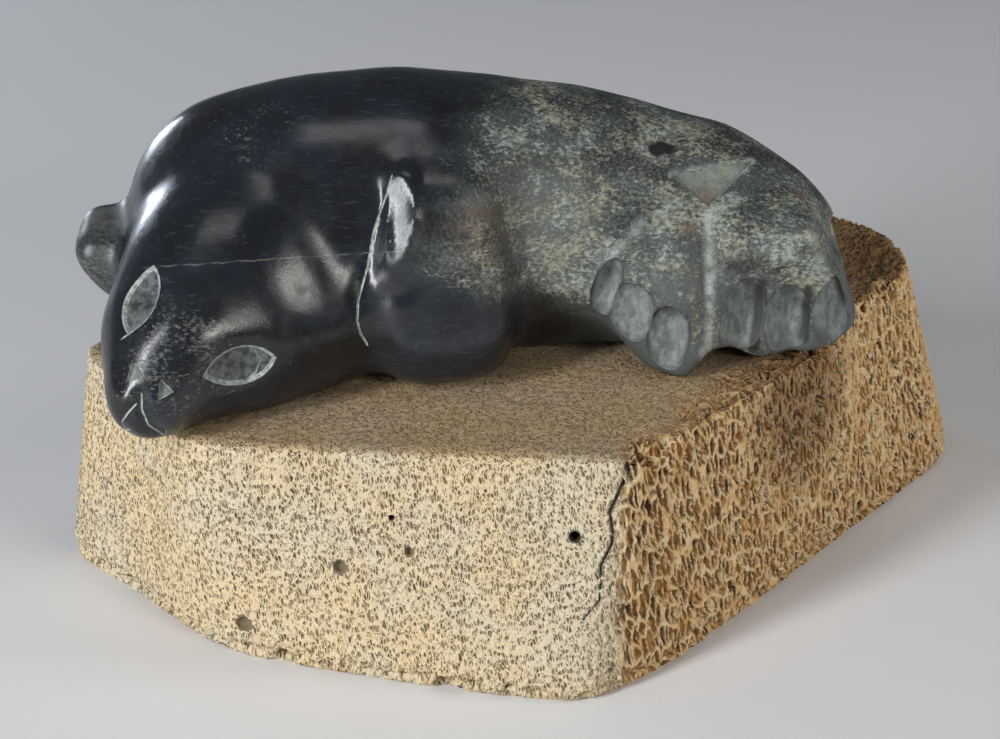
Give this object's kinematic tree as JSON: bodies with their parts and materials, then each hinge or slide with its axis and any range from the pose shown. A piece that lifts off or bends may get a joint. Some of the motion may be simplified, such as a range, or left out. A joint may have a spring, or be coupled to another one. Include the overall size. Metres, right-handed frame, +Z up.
{
  "type": "soapstone seal carving",
  "caption": "Dark soapstone carving of a seal curled on its side line, nose and hind flippers forward, resting on a weathered whalebone block.",
  "frame": {"origin": "middle of the whole object's footprint, at the foot of the whalebone block", "axes": "+Z up, +X along the block's long way towards the seal's rump, +Y away from the seal's face"},
  "size_m": [0.2404, 0.176, 0.1292],
  "materials": {
    "soapstone": "polished dark stone, greyer and matte at the hind flippers",
    "whalebone": "dry, porous, weathered bone"
  },
  "bodies": {
    "root": {"soapstone_seal": "soapstone", "whalebone_block": "whalebone"}
  },
  "joints": []
}
